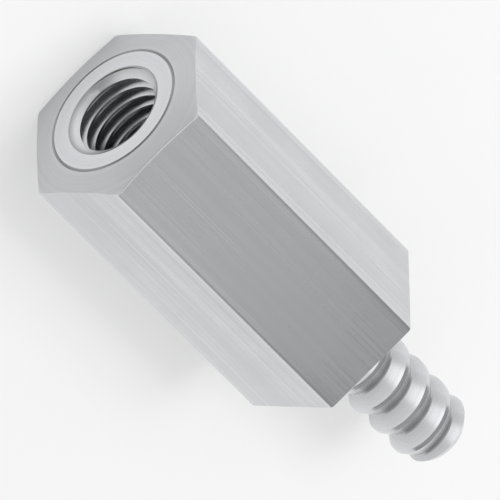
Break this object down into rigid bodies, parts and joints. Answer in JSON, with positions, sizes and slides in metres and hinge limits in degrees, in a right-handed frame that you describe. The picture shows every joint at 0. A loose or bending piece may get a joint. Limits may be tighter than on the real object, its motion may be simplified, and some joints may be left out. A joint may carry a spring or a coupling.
{
  "type": "hex standoff",
  "caption": "Hexagonal standoff with a tapped blind hole in one end and a threaded stud on the other, for holding a board or panel off its base.",
  "frame": {"origin": "centre of the shoulder that the stud stands on, on the axis of the hexagon", "axes": "+X along the axis, out of the stud's tip; +Z out of the upper flat; the part lies on the flat that faces -Z"},
  "size_m": [0.019, 0.0074, 0.0064],
  "materials": {
    "machined_metal": "fine machined, bright"
  },
  "bodies": {
    "root": {"standoff": "machined_metal"}
  },
  "joints": []
}
